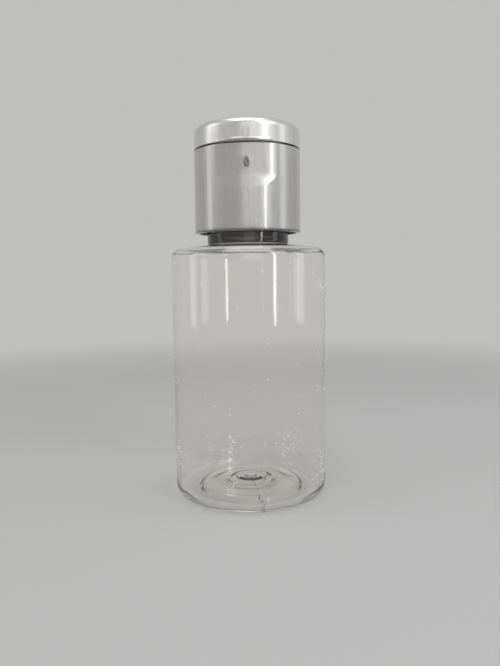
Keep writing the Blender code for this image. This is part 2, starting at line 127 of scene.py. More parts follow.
def make_floor():
    """A round floor: matt near the bottle, and the plain background colour further out."""
    mesh = bpy.data.meshes.new("floor")
    bm = bmesh.new()
    bmesh.ops.create_circle(bm, cap_ends=True, segments=64, radius=FLOOR_RADIUS)
    bm.to_mesh(mesh)
    bm.free()
    material, output = new_material("floor")
    tree = material.node_tree
    place = add_node(tree, "ShaderNodeTexCoord").outputs["Object"]
    reach = add_node(tree, "ShaderNodeVectorMath", [(0, place)], operation="LENGTH").outputs["Value"]
    fade = add_node(
        tree, "ShaderNodeMapRange",
        [("Value", reach), ("From Min", FLOOR_FADE[0]), ("From Max", FLOOR_FADE[1])],
        interpolation_type="SMOOTHSTEP",
    )
    matt = add_node(tree, "ShaderNodeBsdfDiffuse", [("Color", (*BACKGROUND, 1))])
    plain = add_node(tree, "ShaderNodeEmission", [("Color", (*BACKGROUND, 1))])
    mix = add_node(
        tree, "ShaderNodeMixShader",
        [(0, fade.outputs["Result"]), (1, matt.outputs[0]), (2, plain.outputs[0])],
    )
    tree.links.new(mix.outputs[0], output.inputs["Surface"])
    mesh.materials.append(material)
    linked(bpy.data.objects.new("floor", mesh))


def make_world():
    """Even light for matt surfaces, and the background's own colour where it is seen or mirrored."""
    world = bpy.data.worlds.new("studio")
    world.use_nodes = True
    tree = world.node_tree
    tree.nodes.clear()
    path = add_node(tree, "ShaderNodeLightPath")
    seen = maths(tree, "MAXIMUM", path.outputs["Is Camera Ray"], path.outputs["Is Glossy Ray"])
    seen = maths(tree, "MAXIMUM", seen, path.outputs["Is Transmission Ray"])
    light = add_node(tree, "ShaderNodeBackground", [("Color", (1, 1, 1, 1)), ("Strength", EVEN_LIGHT)])
    plain = add_node(tree, "ShaderNodeBackground", [("Color", (*BACKGROUND, 1))])
    mix = add_node(
        tree, "ShaderNodeMixShader", [(0, seen), (1, light.outputs[0]), (2, plain.outputs[0])]
    )
    output = add_node(tree, "ShaderNodeOutputWorld")
    tree.links.new(mix.outputs[0], output.inputs["Surface"])
    bpy.context.scene.world = world


def make_lamp(name, place, size, power, colour, height=None):
    """A soft lamp that points at the middle of the bottle: square, or upright with a height."""
    data = bpy.data.lights.new(name, "AREA")
    data.shape = "RECTANGLE"
    data.size = size
    data.size_y = height or size
    data.energy = power
    data.color = colour
    lamp = linked(bpy.data.objects.new(name, data))
    lamp.location = place
    target = Vector((0, 0, CAMERA_HEIGHT))
    lamp.rotation_euler = (Vector(place) - target).to_track_quat("Z", "Y").to_euler()


make_camera()
make_floor()
make_world()
make_lamp("lamp_right", (0.30, -0.26, 0.34), size=0.22, power=0.55, colour=COOL_LIGHT)
make_lamp("lamp_left", (-0.36, -0.10, 0.26), size=0.20, power=0.15, colour=WARM_LIGHT)
make_lamp("lamp_top", (0.0, -0.10, 0.46), size=0.34, power=0.75, colour=WHITE_LIGHT)
make_lamp("lamp_front", (0.06, -0.50, 0.22), size=0.30, power=0.18, colour=WHITE_LIGHT)
for name, place, size, power, colour in (
    ("strip_right", (0.252, -0.311, 0.12), 0.03, 0.16, WHITE_LIGHT),
    ("side_right", (0.396, -0.056, 0.12), 0.10, 0.10, COOL_LIGHT),
    ("side_left", (-0.399, -0.028, 0.12), 0.08, 0.07, COOL_LIGHT),
):
    make_lamp(name, place, size, power, colour, height=UPRIGHT_LAMP_HEIGHT)

bpy.context.scene.view_settings.view_transform = "Standard"


# Bottle.
# Stretch-blown clear PET, one piece: a straight round body on a stepped push-up, a low shoulder
# and a moulded neck with a right-hand thread. The two halves of its mould leave a fine line.

BODY_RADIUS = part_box("bottle")[1][0]
LIP_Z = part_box("bottle")[1][2]
NECK_ROOT_Z = 49.0 * MM
NECK_RADIUS = 7.9 * MM
NECK_BORE = 6.6 * MM
BODY_WALL = 0.6 * MM
SHOULDER_FOOT_Z = 48.0 * MM
FLOOR_WALL = 0.9 * MM
THREAD_PITCH = 3.175 * MM
THREAD_TOP_Z = LIP_Z - 1.8 * MM  # middle of the ridge at its upper end
THREAD_END_ANGLE = math.radians(3.75)
PARTING_LINE = math.radians(-90 + 10.5)  # round from +X; the other half's line is opposite


def filleted(corners, spacing, fine=(), closed=False):
    """Rows (r, z, tag) along a turned outline.

    A corner is (r, z, fillet radius, tag of the stretch after it). Straight stretches get a row
    every spacing, or every fine[tag] where the tag has one.
    """
    fine = dict(fine)
    count = len(corners)
    points = [Vector(corner[:2]) for corner in corners]
    arcs = []
    for i, (r, z, radius, tag) in enumerate(corners):
        ends = not closed and i in (0, count - 1)
        if ends or radius == 0:
            arcs.append([points[i]])
            continue
        before = points[i - 1] - points[i]
        after = points[(i + 1) % count] - points[i]
        opening = before.angle(after)
        reach = min(radius / math.tan(opening / 2), 0.48 * before.length, 0.48 * after.length)
        radius = reach * math.tan(opening / 2)
        bisector = (before.normalized() + after.normalized()).normalized()
        centre = points[i] + bisector * radius / math.sin(opening / 2)
        start = points[i] + before.normalized() * reach - centre
        finish = points[i] + after.normalized() * reach - centre
        turn = start.angle_signed(finish)
        steps = max(3, math.ceil(abs(turn) / math.radians(8 if radius > 1.5 * MM else 11)))
        arc = []
        for k in range(steps + 1):
            angle = -turn * k / steps
            arc.append(centre + Vector((
                start.x * math.cos(angle) - start.y * math.sin(angle),
                start.x * math.sin(angle) + start.y * math.cos(angle),
            )))
        arcs.append(arc)
    rows = []
    for i in range(count):
        tag = corners[i][3]
        rows += [(p.x, p.y, tag) for p in arcs[i]]
        if i == count - 1 and not closed:
            break
        start, finish = arcs[i][-1], arcs[(i + 1) % count][0]
        steps = max(1, round((finish - start).length / fine.get(tag, spacing)))
        for k in range(1, steps):
            p = start.lerp(finish, k / steps)
            rows.append((p.x, p.y, tag))
    return rows


def columns_round(even, dense=()):
    """Angles round the axis: evenly spread, with closer ones at each (middle, half width, step)."""
    angles = [math.tau * i / even for i in range(even)]
    for middle, half, step in dense:
        angles = [a for a in angles if abs(math.remainder(a - middle, math.tau)) > half + step / 2]
        count = round(2 * half / step)
        angles += [(middle - half + step * i) % math.tau for i in range(count + 1)]
    return sorted(angles)


def turned_mesh(name, rows, angles, relief=None, closed=False):
    """Skins rows of (r, z, tag) round the Z axis. relief(tag, r, z, angle) may move a point's r."""
    bm = bmesh.new()
    carries = bm.verts.layers.float.new("carries_thread")
    rings = []
    for r, z, tag in rows:
        ring = []
        for angle in angles if r > 0 else angles[:1]:
            place = relief(tag, r, z, angle) if relief else r
            vert = bm.verts.new((place * math.cos(angle), place * math.sin(angle), z))
            vert[carries] = float(tag == "thread")
            ring.append(vert)
        rings.append(ring)
    pairs = list(zip(rings, rings[1:]))
    if closed:
        pairs.append((rings[-1], rings[0]))
    for low, high in pairs:
        for i in range(len(angles)):
            j = (i + 1) % len(angles)
            corners = [low[i % len(low)], low[j % len(low)], high[j % len(high)], high[i % len(high)]]
            bm.faces.new(list(dict.fromkeys(corners)))
    bmesh.ops.recalc_face_normals(bm, faces=bm.faces)
    mesh = bpy.data.meshes.new(name)
    bm.to_mesh(mesh)
    bm.free()
    mesh.shade_smooth()
    return mesh


def finished(obj, tree, values):
    """Runs a Geometry Nodes tree on an object and keeps the result as a plain mesh."""
    modifier = obj.modifiers.new(tree.name, "NODES")
    modifier.node_group = tree
    for socket in tree.interface.items_tree:
        if socket.item_type == "SOCKET" and socket.in_out == "INPUT" and socket.name in values:
            modifier[socket.identifier] = values[socket.name]
    bpy.context.view_layer.update()
    seen = obj.evaluated_get(bpy.context.evaluated_depsgraph_get())
    mesh = bpy.data.meshes.new_from_object(seen)
    mesh.name = obj.name
    obj.modifiers.remove(modifier)
    obj.data = mesh
    return obj


def new_geometry_tree(name, sockets):
    """A Geometry Nodes tree with named inputs. Sockets are (name, type, default) after the geometry."""
    tree = bpy.data.node_groups.new(name, "GeometryNodeTree")
    tree.interface.new_socket("Geometry", in_out="INPUT", socket_type="NodeSocketGeometry")
    for label, kind, default in sockets:
        socket = tree.interface.new_socket(label, in_out="INPUT", socket_type=kind)
        if default is not None:
            socket.default_value = default
    tree.interface.new_socket("Geometry", in_out="OUTPUT", socket_type="NodeSocketGeometry")
    return tree, add_node(tree, "NodeGroupInput").outputs, add_node(tree, "NodeGroupOutput")


def make_thread_tree():
    """Raises, or with a negative height sinks, a helical ridge on the rows that carry a thread."""
    tree, given, output = new_geometry_tree("screw_thread", [
        ("Height", "NodeSocketFloat", 0.95 * MM),
        ("Pitch", "NodeSocketFloat", THREAD_PITCH),
        ("Turns", "NodeSocketFloat", 1.5),
        ("Upper End", "NodeSocketFloat", THREAD_TOP_Z),
        ("End Angle", "NodeSocketFloat", THREAD_END_ANGLE),
        ("Root Width", "NodeSocketFloat", 1.9 * MM),
        ("Crest Width", "NodeSocketFloat", 0.8 * MM),
        ("Run Out", "NodeSocketFloat", 0.08),
        ("Material", "NodeSocketMaterial", None),
    ])
    place = add_node(tree, "GeometryNodeInputPosition").outputs[0]
    parts = add_node(tree, "ShaderNodeSeparateXYZ", [(0, place)]).outputs
    angle = maths(tree, "ARCTAN2", parts["Y"], parts["X"])
    # how many turns below the upper end the helix passes this side of the neck, and this height
    by_side = maths(tree, "DIVIDE", maths(tree, "SUBTRACT", given["End Angle"], angle), math.tau)
    below_end = maths(tree, "SUBTRACT", given["Upper End"], parts["Z"])
    by_height = maths(tree, "DIVIDE", below_end, given["Pitch"])
    whole = maths(tree, "ROUND", maths(tree, "SUBTRACT", by_height, by_side))
    turn = maths(tree, "ADD", by_side, whole)
    away = maths(tree, "MULTIPLY", maths(tree, "SUBTRACT", by_height, turn), given["Pitch"])
    away = maths(tree, "ABSOLUTE", away)
    flank = add_node(
        tree, "ShaderNodeMapRange",
        [
            ("Value", away),
            ("From Min", maths(tree, "DIVIDE", given["Root Width"], 2.0)),
            ("From Max", maths(tree, "DIVIDE", given["Crest Width"], 2.0)),
        ],
        interpolation_type="SMOOTHSTEP",
    ).outputs["Result"]
    to_end = maths(tree, "MINIMUM", turn, maths(tree, "SUBTRACT", given["Turns"], turn))
    fade = maths(tree, "DIVIDE", to_end, given["Run Out"], clamp=True)
    carries = add_node(
        tree, "GeometryNodeInputNamedAttribute", [("Name", "carries_thread")], data_type="FLOAT"
    ).outputs[0]
    height_here = maths(tree, "MULTIPLY", carries, given["Height"])
    rise = maths(tree, "MULTIPLY", maths(tree, "MULTIPLY", flank, fade), height_here)
    outward = add_node(
        tree, "ShaderNodeCombineXYZ",
        [(0, maths(tree, "MULTIPLY", maths(tree, "COSINE", angle), rise)),
         (1, maths(tree, "MULTIPLY", maths(tree, "SINE", angle), rise))],
    ).outputs[0]
    moved = add_node(
        tree, "GeometryNodeSetPosition", [("Geometry", given["Geometry"]), ("Offset", outward)]
    )
    real = add_node(tree, "GeometryNodeRealizeInstances", [(0, moved.outputs[0])])
    dressed = add_node(
        tree, "GeometryNodeSetMaterial", [("Geometry", real.outputs[0]), ("Material", given["Material"])]
    )
    tree.links.new(dressed.outputs[0], output.inputs[0])
    return tree


def bottle_rows():
    """The outside from the middle of the foot to the lip, then the inside back down to the floor."""
    inner = BODY_RADIUS - BODY_WALL
    corners = [
        (0, 1.70 * MM, 0, "foot"),
        (0.65 * MM, 1.70 * MM, 0.25 * MM, "foot"),
        (1.25 * MM, 2.00 * MM, 0.30 * MM, "foot"),
        (3.00 * MM, 2.00 * MM, 0.80 * MM, "foot"),
        (4.10 * MM, 1.49 * MM, 0.80 * MM, "foot"),
        (6.55 * MM, 1.33 * MM, 3.00 * MM, "foot"),
        (9.40 * MM, 0.80 * MM, 0.40 * MM, "foot"),
        (10.10 * MM, 0, 0.35 * MM, "foot"),
        (BODY_RADIUS, 0, 1.90 * MM, "outside"),
        (BODY_RADIUS, SHOULDER_FOOT_Z, 1.80 * MM, "outside"),
        (NECK_RADIUS, NECK_ROOT_Z, 0.40 * MM, "neck"),
        (NECK_RADIUS, 53.0 * MM, 0, "thread"),
        (NECK_RADIUS, LIP_Z, 0.25 * MM, "lip"),
        (NECK_BORE, LIP_Z, 0.25 * MM, "bore"),
        (NECK_BORE, NECK_ROOT_Z - BODY_WALL, 3.20 * MM, "inside"),
        (13.3 * MM, 48.05 * MM, 0.60 * MM, "inside"),
        (inner, 46.9 * MM, 0.60 * MM, "inside"),
        (inner, FLOOR_WALL, 1.70 * MM, "inside"),
        (11.50 * MM, FLOOR_WALL, 2.00 * MM, "floor"),
        (9.00 * MM, 1.85 * MM, 2.00 * MM, "floor"),
        (6.55 * MM, 2.20 * MM, 3.00 * MM, "floor"),
        (5.20 * MM, 2.36 * MM, 1.20 * MM, "floor"),
        (2.40 * MM, 2.90 * MM, 1.20 * MM, "floor"),
        (0, 2.90 * MM, 0, "floor"),
    ]
    fine = {
        "foot": 0.45 * MM, "floor": 0.45 * MM, "outside": 1.3 * MM, "inside": 1.3 * MM,
        "thread": 0.125 * MM,
    }
    return filleted(corners, 0.5 * MM, fine)


def bottle_relief(tag, r, z, angle):
    """The mould's parting line outside, ragged at the heel, and a blown wall's unevenness inside."""
    line_height = 0.035 * MM
    line_width = 0.10 * MM
    ragged_below = 3.2 * MM
    wander = 0.5 * MM
    slow_waves = 0.05 * MM
    quick_waves = 0.012 * MM
    if tag in ("outside", "foot", "neck"):
        ragged = max(0.0, 1 - z / ragged_below)
        away = math.remainder(angle - PARTING_LINE, math.pi) * r
        away += wander * ragged * noise.noise(Vector((0, r, z)) / (0.6 * MM))
        flash = 13 if math.cos(angle - PARTING_LINE) > 0 else 3
        return r + line_height * (1 + flash * ragged) * math.exp(-((away / line_width) ** 2))
    if tag == "inside":
        place = Vector((math.cos(angle), math.sin(angle), z / BODY_RADIUS * 0.35)) * 1.6
        return r + slow_waves * noise.noise(place) + quick_waves * noise.noise(place * 3.7)
    return r


def make_scratch_group():
    """Fine handling scratches and faint smears, as two masks and a height."""
    group = bpy.data.node_groups.new("handling_marks", "ShaderNodeTree")
    for label, kind, default in (
        ("Scratch Scale", "NodeSocketFloat", 260.0),
        ("Scratch Share", "NodeSocketFloat", 0.5),
        ("Smear Scale", "NodeSocketFloat", 120.0),
    ):
        socket = group.interface.new_socket(label, in_out="INPUT", socket_type=kind)
        socket.default_value = default
    for label in ("Scratches", "Smears", "Height"):
        group.interface.new_socket(label, in_out="OUTPUT", socket_type="NodeSocketFloat")
    given = add_node(group, "NodeGroupInput").outputs
    output = add_node(group, "NodeGroupOutput")
    place = add_node(group, "ShaderNodeTexCoord").outputs["Object"]
    lines = []
    for turn in ((0.4, 0.9, 0.2), (1.3, 0.2, 1.1), (0.1, 2.0, 2.3)):
        laid = add_node(
            group, "ShaderNodeMapping",
            [("Vector", place), ("Rotation", turn), ("Scale", (1, 0.06, 1))],
        )
        grain = add_node(
            group, "ShaderNodeTexNoise",
            [("Vector", laid.outputs[0]), ("Scale", given["Scratch Scale"]), ("Detail", 1.0)],
        ).outputs["Fac"]
        off = maths(group, "ABSOLUTE", maths(group, "SUBTRACT", grain, 0.5))
        lines.append(add_node(
            group, "ShaderNodeMapRange", [("Value", off), ("From Min", 0.012), ("From Max", 0.0)],
        ).outputs["Result"])
    line = maths(group, "MAXIMUM", maths(group, "MAXIMUM", lines[0], lines[1]), lines[2])
    patch = add_node(
        group, "ShaderNodeTexNoise", [("Vector", place), ("Scale", given["Smear Scale"]), ("Detail", 3.0)],
    ).outputs["Fac"]
    where = add_node(
        group, "ShaderNodeMapRange", [("Value", patch), ("From Min", 0.48), ("From Max", 0.68)],
    ).outputs["Result"]
    scratch = maths(group, "MULTIPLY", maths(group, "MULTIPLY", line, where), given["Scratch Share"])
    group.links.new(scratch, output.inputs["Scratches"])
    group.links.new(where, output.inputs["Smears"])
    group.links.new(maths(group, "MULTIPLY", scratch, -1.0), output.inputs["Height"])
    return group


def make_pet_material():
    """Clear PET with a trace of warmth, faintly uneven, with handling scratches and smears."""
    smooth, smeared, scratched = 0.015, 0.05, 0.3  # roughness, and what the marks add to it
    material, output = new_material("clear_pet")
    tree = material.node_tree
    worn = add_node(
        tree, "ShaderNodeGroup",
        [("Scratch Scale", 420.0), ("Scratch Share", 0.02), ("Smear Scale", 90.0)],
        node_tree=handling_marks,
    ).outputs
    rough = maths(tree, "MULTIPLY_ADD", worn["Smears"], smeared, smooth)
    rough = maths(tree, "MULTIPLY_ADD", worn["Scratches"], scratched, rough)
    place = add_node(tree, "ShaderNodeTexCoord").outputs["Object"]
    ripple = add_node(
        tree, "ShaderNodeTexNoise", [("Vector", place), ("Scale", 160.0), ("Detail", 1.0)]
    ).outputs["Fac"]
    height = maths(tree, "MULTIPLY_ADD", ripple, 0.25, worn["Height"])
    bump = add_node(
        tree, "ShaderNodeBump", [("Height", height), ("Strength", 0.25), ("Distance", 0.02 * MM)]
    )
    pet = add_node(
        tree, "ShaderNodeBsdfPrincipled",
        [
            ("Base Color", (0.985, 0.972, 0.960, 1)),
            ("IOR", 1.57),
            ("Transmission Weight", 1.0),
            ("Roughness", rough),
            ("Normal", bump.outputs[0]),
        ],
    )
    shadow = add_node(tree, "ShaderNodeLightPath").outputs["Is Shadow Ray"]
    through = add_node(tree, "ShaderNodeBsdfTransparent", [("Color", (0.87, 0.86, 0.85, 1))])
    mix = add_node(
        tree, "ShaderNodeMixShader", [(0, shadow), (1, pet.outputs[0]), (2, through.outputs[0])]
    )
    tree.links.new(mix.outputs[0], output.inputs["Surface"])
    return material


thread_tree = make_thread_tree()
handling_marks = make_scratch_group()
clear_pet = make_pet_material()
line_half = math.radians(1.6)
line_step = math.radians(0.16)
bottle_columns = columns_round(
    200, [((PARTING_LINE + half_turn) % math.tau, line_half, line_step) for half_turn in (0, math.pi)]
)
bottle_mesh = turned_mesh("bottle_shell", bottle_rows(), bottle_columns, bottle_relief)
bottle = linked(bpy.data.objects.new("bottle_shell", bottle_mesh))
finished(bottle, thread_tree, {"Material": clear_pet})
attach(bottle, "bottle")
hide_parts("bottle")


# Dust on the bottle.
# Fine pale specks that cling to the outside of the charged plastic, here and there all over it and
# thickly in a few patches on the side that was handled.

DUST_PATCHES = ((30, 13.5 * MM), (64, 6.5 * MM), (66, 41 * MM), (-66, 9 * MM))  # azimuth, height


def make_dust_tree():
    """Scatters small round grains on a surface, thickly within each patch."""
    patch_names = [f"Patch {number + 1}" for number in range(len(DUST_PATCHES))]
    tree, given, output = new_geometry_tree("dust", [
        ("Even Density", "NodeSocketFloat", 30000.0),
        ("Patch Density", "NodeSocketFloat", 3800000.0),
        ("Patch Radius", "NodeSocketFloat", 3.8 * MM),
        ("Least Size", "NodeSocketFloat", 0.05 * MM),
        ("Most Size", "NodeSocketFloat", 0.15 * MM),
        ("Seed", "NodeSocketInt", 11),
        *((name, "NodeSocketVector", None) for name in patch_names),
        ("Material", "NodeSocketMaterial", None),
    ])
    place = add_node(tree, "GeometryNodeInputPosition").outputs[0]
    thick = 0.0
    for name in patch_names:
        away = add_node(
            tree, "ShaderNodeVectorMath", [(0, place), (1, given[name])], operation="DISTANCE"
        ).outputs["Value"]
        away = maths(tree, "DIVIDE", away, given["Patch Radius"])
        near = maths(tree, "SUBTRACT", 1.0, away, clamp=True)
        thick = maths(tree, "ADD", thick, maths(tree, "MULTIPLY", near, near))
    density = maths(tree, "MULTIPLY_ADD", thick, given["Patch Density"], given["Even Density"])
    points = add_node(
        tree, "GeometryNodeDistributePointsOnFaces",
        [("Mesh", given["Geometry"]), ("Density", density), ("Seed", given["Seed"])],
    )
    grain = add_node(
        tree, "GeometryNodeMeshIcoSphere", [("Radius", 1.0), ("Subdivisions", 1)]
    ).outputs[0]
    size = add_node(
        tree, "FunctionNodeRandomValue",
        [(2, given["Least Size"]), (3, given["Most Size"]), ("Seed", given["Seed"])], data_type="FLOAT",
    ).outputs[1]
    placed = add_node(
        tree, "GeometryNodeInstanceOnPoints",
        [("Points", points.outputs["Points"]), ("Instance", grain),
         ("Rotation", points.outputs["Rotation"]), ("Scale", size)],
    )
    real = add_node(tree, "GeometryNodeRealizeInstances", [(0, placed.outputs[0])])
    dressed = add_node(
        tree, "GeometryNodeSetMaterial", [("Geometry", real.outputs[0]), ("Material", given["Material"])]
    )
    tree.links.new(dressed.outputs[0], output.inputs[0])
    return tree


def make_dust_material():
    """Pale lint and dust, a little uneven in tone from grain to grain."""
    material, output = new_material("pale_dust")
    tree = material.node_tree
    place = add_node(tree, "ShaderNodeTexCoord").outputs["Object"]
    tone = add_node(tree, "ShaderNodeTexNoise", [("Vector", place), ("Scale", 900.0)]).outputs["Fac"]
    shade = add_node(tree, "ShaderNodeMapRange", [("Value", tone), ("To Min", 0.85), ("To Max", 1.0)])
    colour = add_node(tree, "ShaderNodeVectorMath", [(0, (1.0, 0.99, 0.96))], operation="SCALE")
    tree.links.new(shade.outputs["Result"], colour.inputs["Scale"])
    dust = add_node(
        tree, "ShaderNodeBsdfPrincipled", [("Base Color", colour.outputs[0]), ("Roughness", 0.6)]
    )
    tree.links.new(dust.outputs[0], output.inputs["Surface"])
    return material


dust_ground = [(BODY_RADIUS, height * MM, "body") for height in range(3, 47)]
dust_mesh = turned_mesh("dust_specks", dust_ground, columns_round(96))
dust = linked(bpy.data.objects.new("dust_specks", dust_mesh))
dust_values = {"Material": make_dust_material()}
for number, (azimuth, height) in enumerate(DUST_PATCHES):
    turn = math.radians(azimuth)
    dust_values[f"Patch {number + 1}"] = (
        BODY_RADIUS * math.sin(turn), -BODY_RADIUS * math.cos(turn), height
    )
finished(dust, make_dust_tree(), dust_values)
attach(dust, "bottle")


# Closure base.
# Injection-moulded polypropylene with metal flake, gated in the thumb recess: skirt with an inner
# thread, deck, dish with a low wall, and the spout with its orifice. It screws onto the neck.

CLOSURE_RADIUS = 10.25 * MM
SKIRT_BOTTOM_Z = 51.1 * MM
SKIRT_BORE = 9.15 * MM
RIM_Z = 66.55 * MM
SEAM_Z = 66.7 * MM
DECK_Z = 64.4 * MM
DECK_UNDERSIDE_Z = 63.3 * MM
DISH_RADIUS = 9.0 * MM
ORIFICE_RADIUS = 1.4 * MM
RECESS_HALF_WIDTH = 5.55 * MM
RECESS_DEPTH = 0.5 * MM
RECESS_FOOT_Z = 58.85 * MM
RECESS_CORNER_RISE = 2.0 * MM
RECESS_RAMP_SLOPE = 0.19
GATE_BOSS_RADII = (0.7 * MM, 1.7 * MM)
GATE_BOSS_HEIGHT = 0.05 * MM
GATE_Z = 63.15 * MM
DIMPLE_HALF_WIDTH = 0.66 * MM
DIMPLE_HALF_HEIGHT = 1.15 * MM
DIMPLE_DEPTH = 0.14 * MM
GATE_NUB_HEIGHT = 0.10 * MM
SILVER_COLOUR = (0.485, 0.472, 0.455)
PAD_FACE_Y = 10.4 * MM
PAD_HALF_WIDTH = 4.4 * MM
PAD_LENGTH = 1.9 * MM
PAD_SLOPE = 0.8 * MM
POCKET_X = (2.45 * MM, 3.85 * MM)
POCKET_FLOOR_Y = 9.75 * MM
POCKET_LENGTH = 1.35 * MM
SEAM_SETBACK = 0.12 * MM
SHARP_ANGLE = math.radians(32)


def front_angle(angle):
    """How far a direction round the axis is from the front, right positive."""
    return math.remainder(angle + math.pi / 2, math.tau)


def back_angle(angle):
    return math.remainder(angle - math.pi / 2, math.tau)


def bowed_face(turn, middle, bow):
    """Radius at which the ray turn off the middle meets a face of the given bow radius in plan."""
    centre = bow - middle
    return math.sqrt(bow**2 - (centre * math.sin(turn)) ** 2) - centre * math.cos(turn)


def bow_through_wall(middle, half_width):
    """Bow radius of a face that meets the round wall at +-half_width."""
    rise = middle - math.sqrt(CLOSURE_RADIUS**2 - half_width**2)
    return (half_width**2 + rise**2) / (2 * rise)


def soft_least(a, b, blend):
    """The smaller of two radii, with a small round where they cross."""
    share = max(0.0, min(1.0, 0.5 + (b - a) / (2 * blend)))
    return b + (a - b) * share - blend * share * (1 - share)


def pad_reach(r, turn, along):
    """Radius with a hinge pad and its two strap pockets. along runs from the pad's edge at the seam."""
    across = abs(math.sin(turn))
    if abs(turn) > math.pi / 4:
        return r
    slope = max(0.0, (along - PAD_LENGTH) / PAD_SLOPE)
    face = PAD_FACE_Y - slope * (PAD_FACE_Y - CLOSURE_RADIUS + 0.15 * MM)
    flat = face / math.cos(turn)
    side = PAD_HALF_WIDTH / max(across, 1e-6)
    if SEAM_SETBACK <= along <= PAD_LENGTH + PAD_SLOPE:
        r = max(r, min(flat, side))
    x = POCKET_FLOOR_Y * math.tan(abs(turn))
    if along <= POCKET_LENGTH and POCKET_X[0] * 0.985 <= x <= POCKET_X[1]:
        r = min(r, max(POCKET_FLOOR_Y / math.cos(turn), POCKET_X[0] / across if x < POCKET_X[0] else 0))
    return r


recess_bow = bow_through_wall(CLOSURE_RADIUS - RECESS_DEPTH, RECESS_HALF_WIDTH)


def closure_base_relief(tag, r, z, angle):
    """The thumb recess with the gate's dimple in front, and the hinge's pad and pockets behind."""
    if tag not in ("skirt", "rim"):
        return r
    turn = front_angle(angle)
    if abs(turn) < math.pi / 3:
        across = r * math.sin(turn)
        foot = RECESS_FOOT_Z + RECESS_CORNER_RISE * abs(across / RECESS_HALF_WIDTH) ** 4
        full = r - bowed_face(turn, CLOSURE_RADIUS - RECESS_DEPTH, recess_bow)
        depth = soft_least(full, RECESS_RAMP_SLOPE * (z - foot), 0.12 * MM)
        r += soft_least(-depth, 0, 0.025 * MM)
        inner, outer = GATE_BOSS_RADII
        share = max(0.0, min(1.0, (outer - math.hypot(across, z - GATE_Z)) / (outer - inner)))
        r += GATE_BOSS_HEIGHT * share**2 * (3 - 2 * share)
        side = across / DIMPLE_HALF_WIDTH
        up = (z - GATE_Z) / DIMPLE_HALF_HEIGHT
        mark = 1 - (side / (1 - 0.35 * up)) ** 2 - up**2 if abs(up) < 1 else 0
        nub = 1 - (side / 0.5) ** 2 - ((up + 0.3) / 0.35) ** 2
        r += GATE_NUB_HEIGHT * max(0.0, nub) - DIMPLE_DEPTH * max(0.0, mark)
    return pad_reach(r, back_angle(angle), RIM_Z - z)


def closure_base_rows():
    """A closed half section: open end, outside, rim, dish, spout, orifice, deck underside, bore."""
    corners = [
        (9.40 * MM, SKIRT_BOTTOM_Z, 0.10 * MM, "edge"),
        (10.30 * MM, SKIRT_BOTTOM_Z, 0.30 * MM, "lower_skirt"),
        (10.2745 * MM, 58.3 * MM, 0, "skirt"),
        (CLOSURE_RADIUS, RIM_Z, 0.10 * MM, "rim"),
        (DISH_RADIUS, RIM_Z, 0.18 * MM, "dish"),
        (DISH_RADIUS, DECK_Z, 0.40 * MM, "dish"),
        (3.16 * MM, DECK_Z, 0.35 * MM, "spout"),
        (2.28 * MM, 67.8 * MM, 0.38 * MM, "spout"),
        (ORIFICE_RADIUS, 67.8 * MM, 0.10 * MM, "orifice"),
        (ORIFICE_RADIUS, DECK_UNDERSIDE_Z, 0.10 * MM, "deck"),
        (SKIRT_BORE, DECK_UNDERSIDE_Z, 0.15 * MM, "bore"),
        (SKIRT_BORE, 62.3 * MM, 0, "bore"),
        (8.95 * MM, 62.1 * MM, 0.08 * MM, "bore"),
        (SKIRT_BORE, 61.9 * MM, 0, "thread"),
        (SKIRT_BORE, 52.1 * MM, 0, "bore"),
        (9.40 * MM, 51.85 * MM, 0, "bore"),
    ]
    fine = {
        "skirt": 0.125 * MM, "thread": 0.17 * MM, "spout": 0.3 * MM, "lower_skirt": 0.9 * MM,
        "rim": 0.12 * MM,
    }
    return filleted(corners, 0.6 * MM, fine, closed=True)


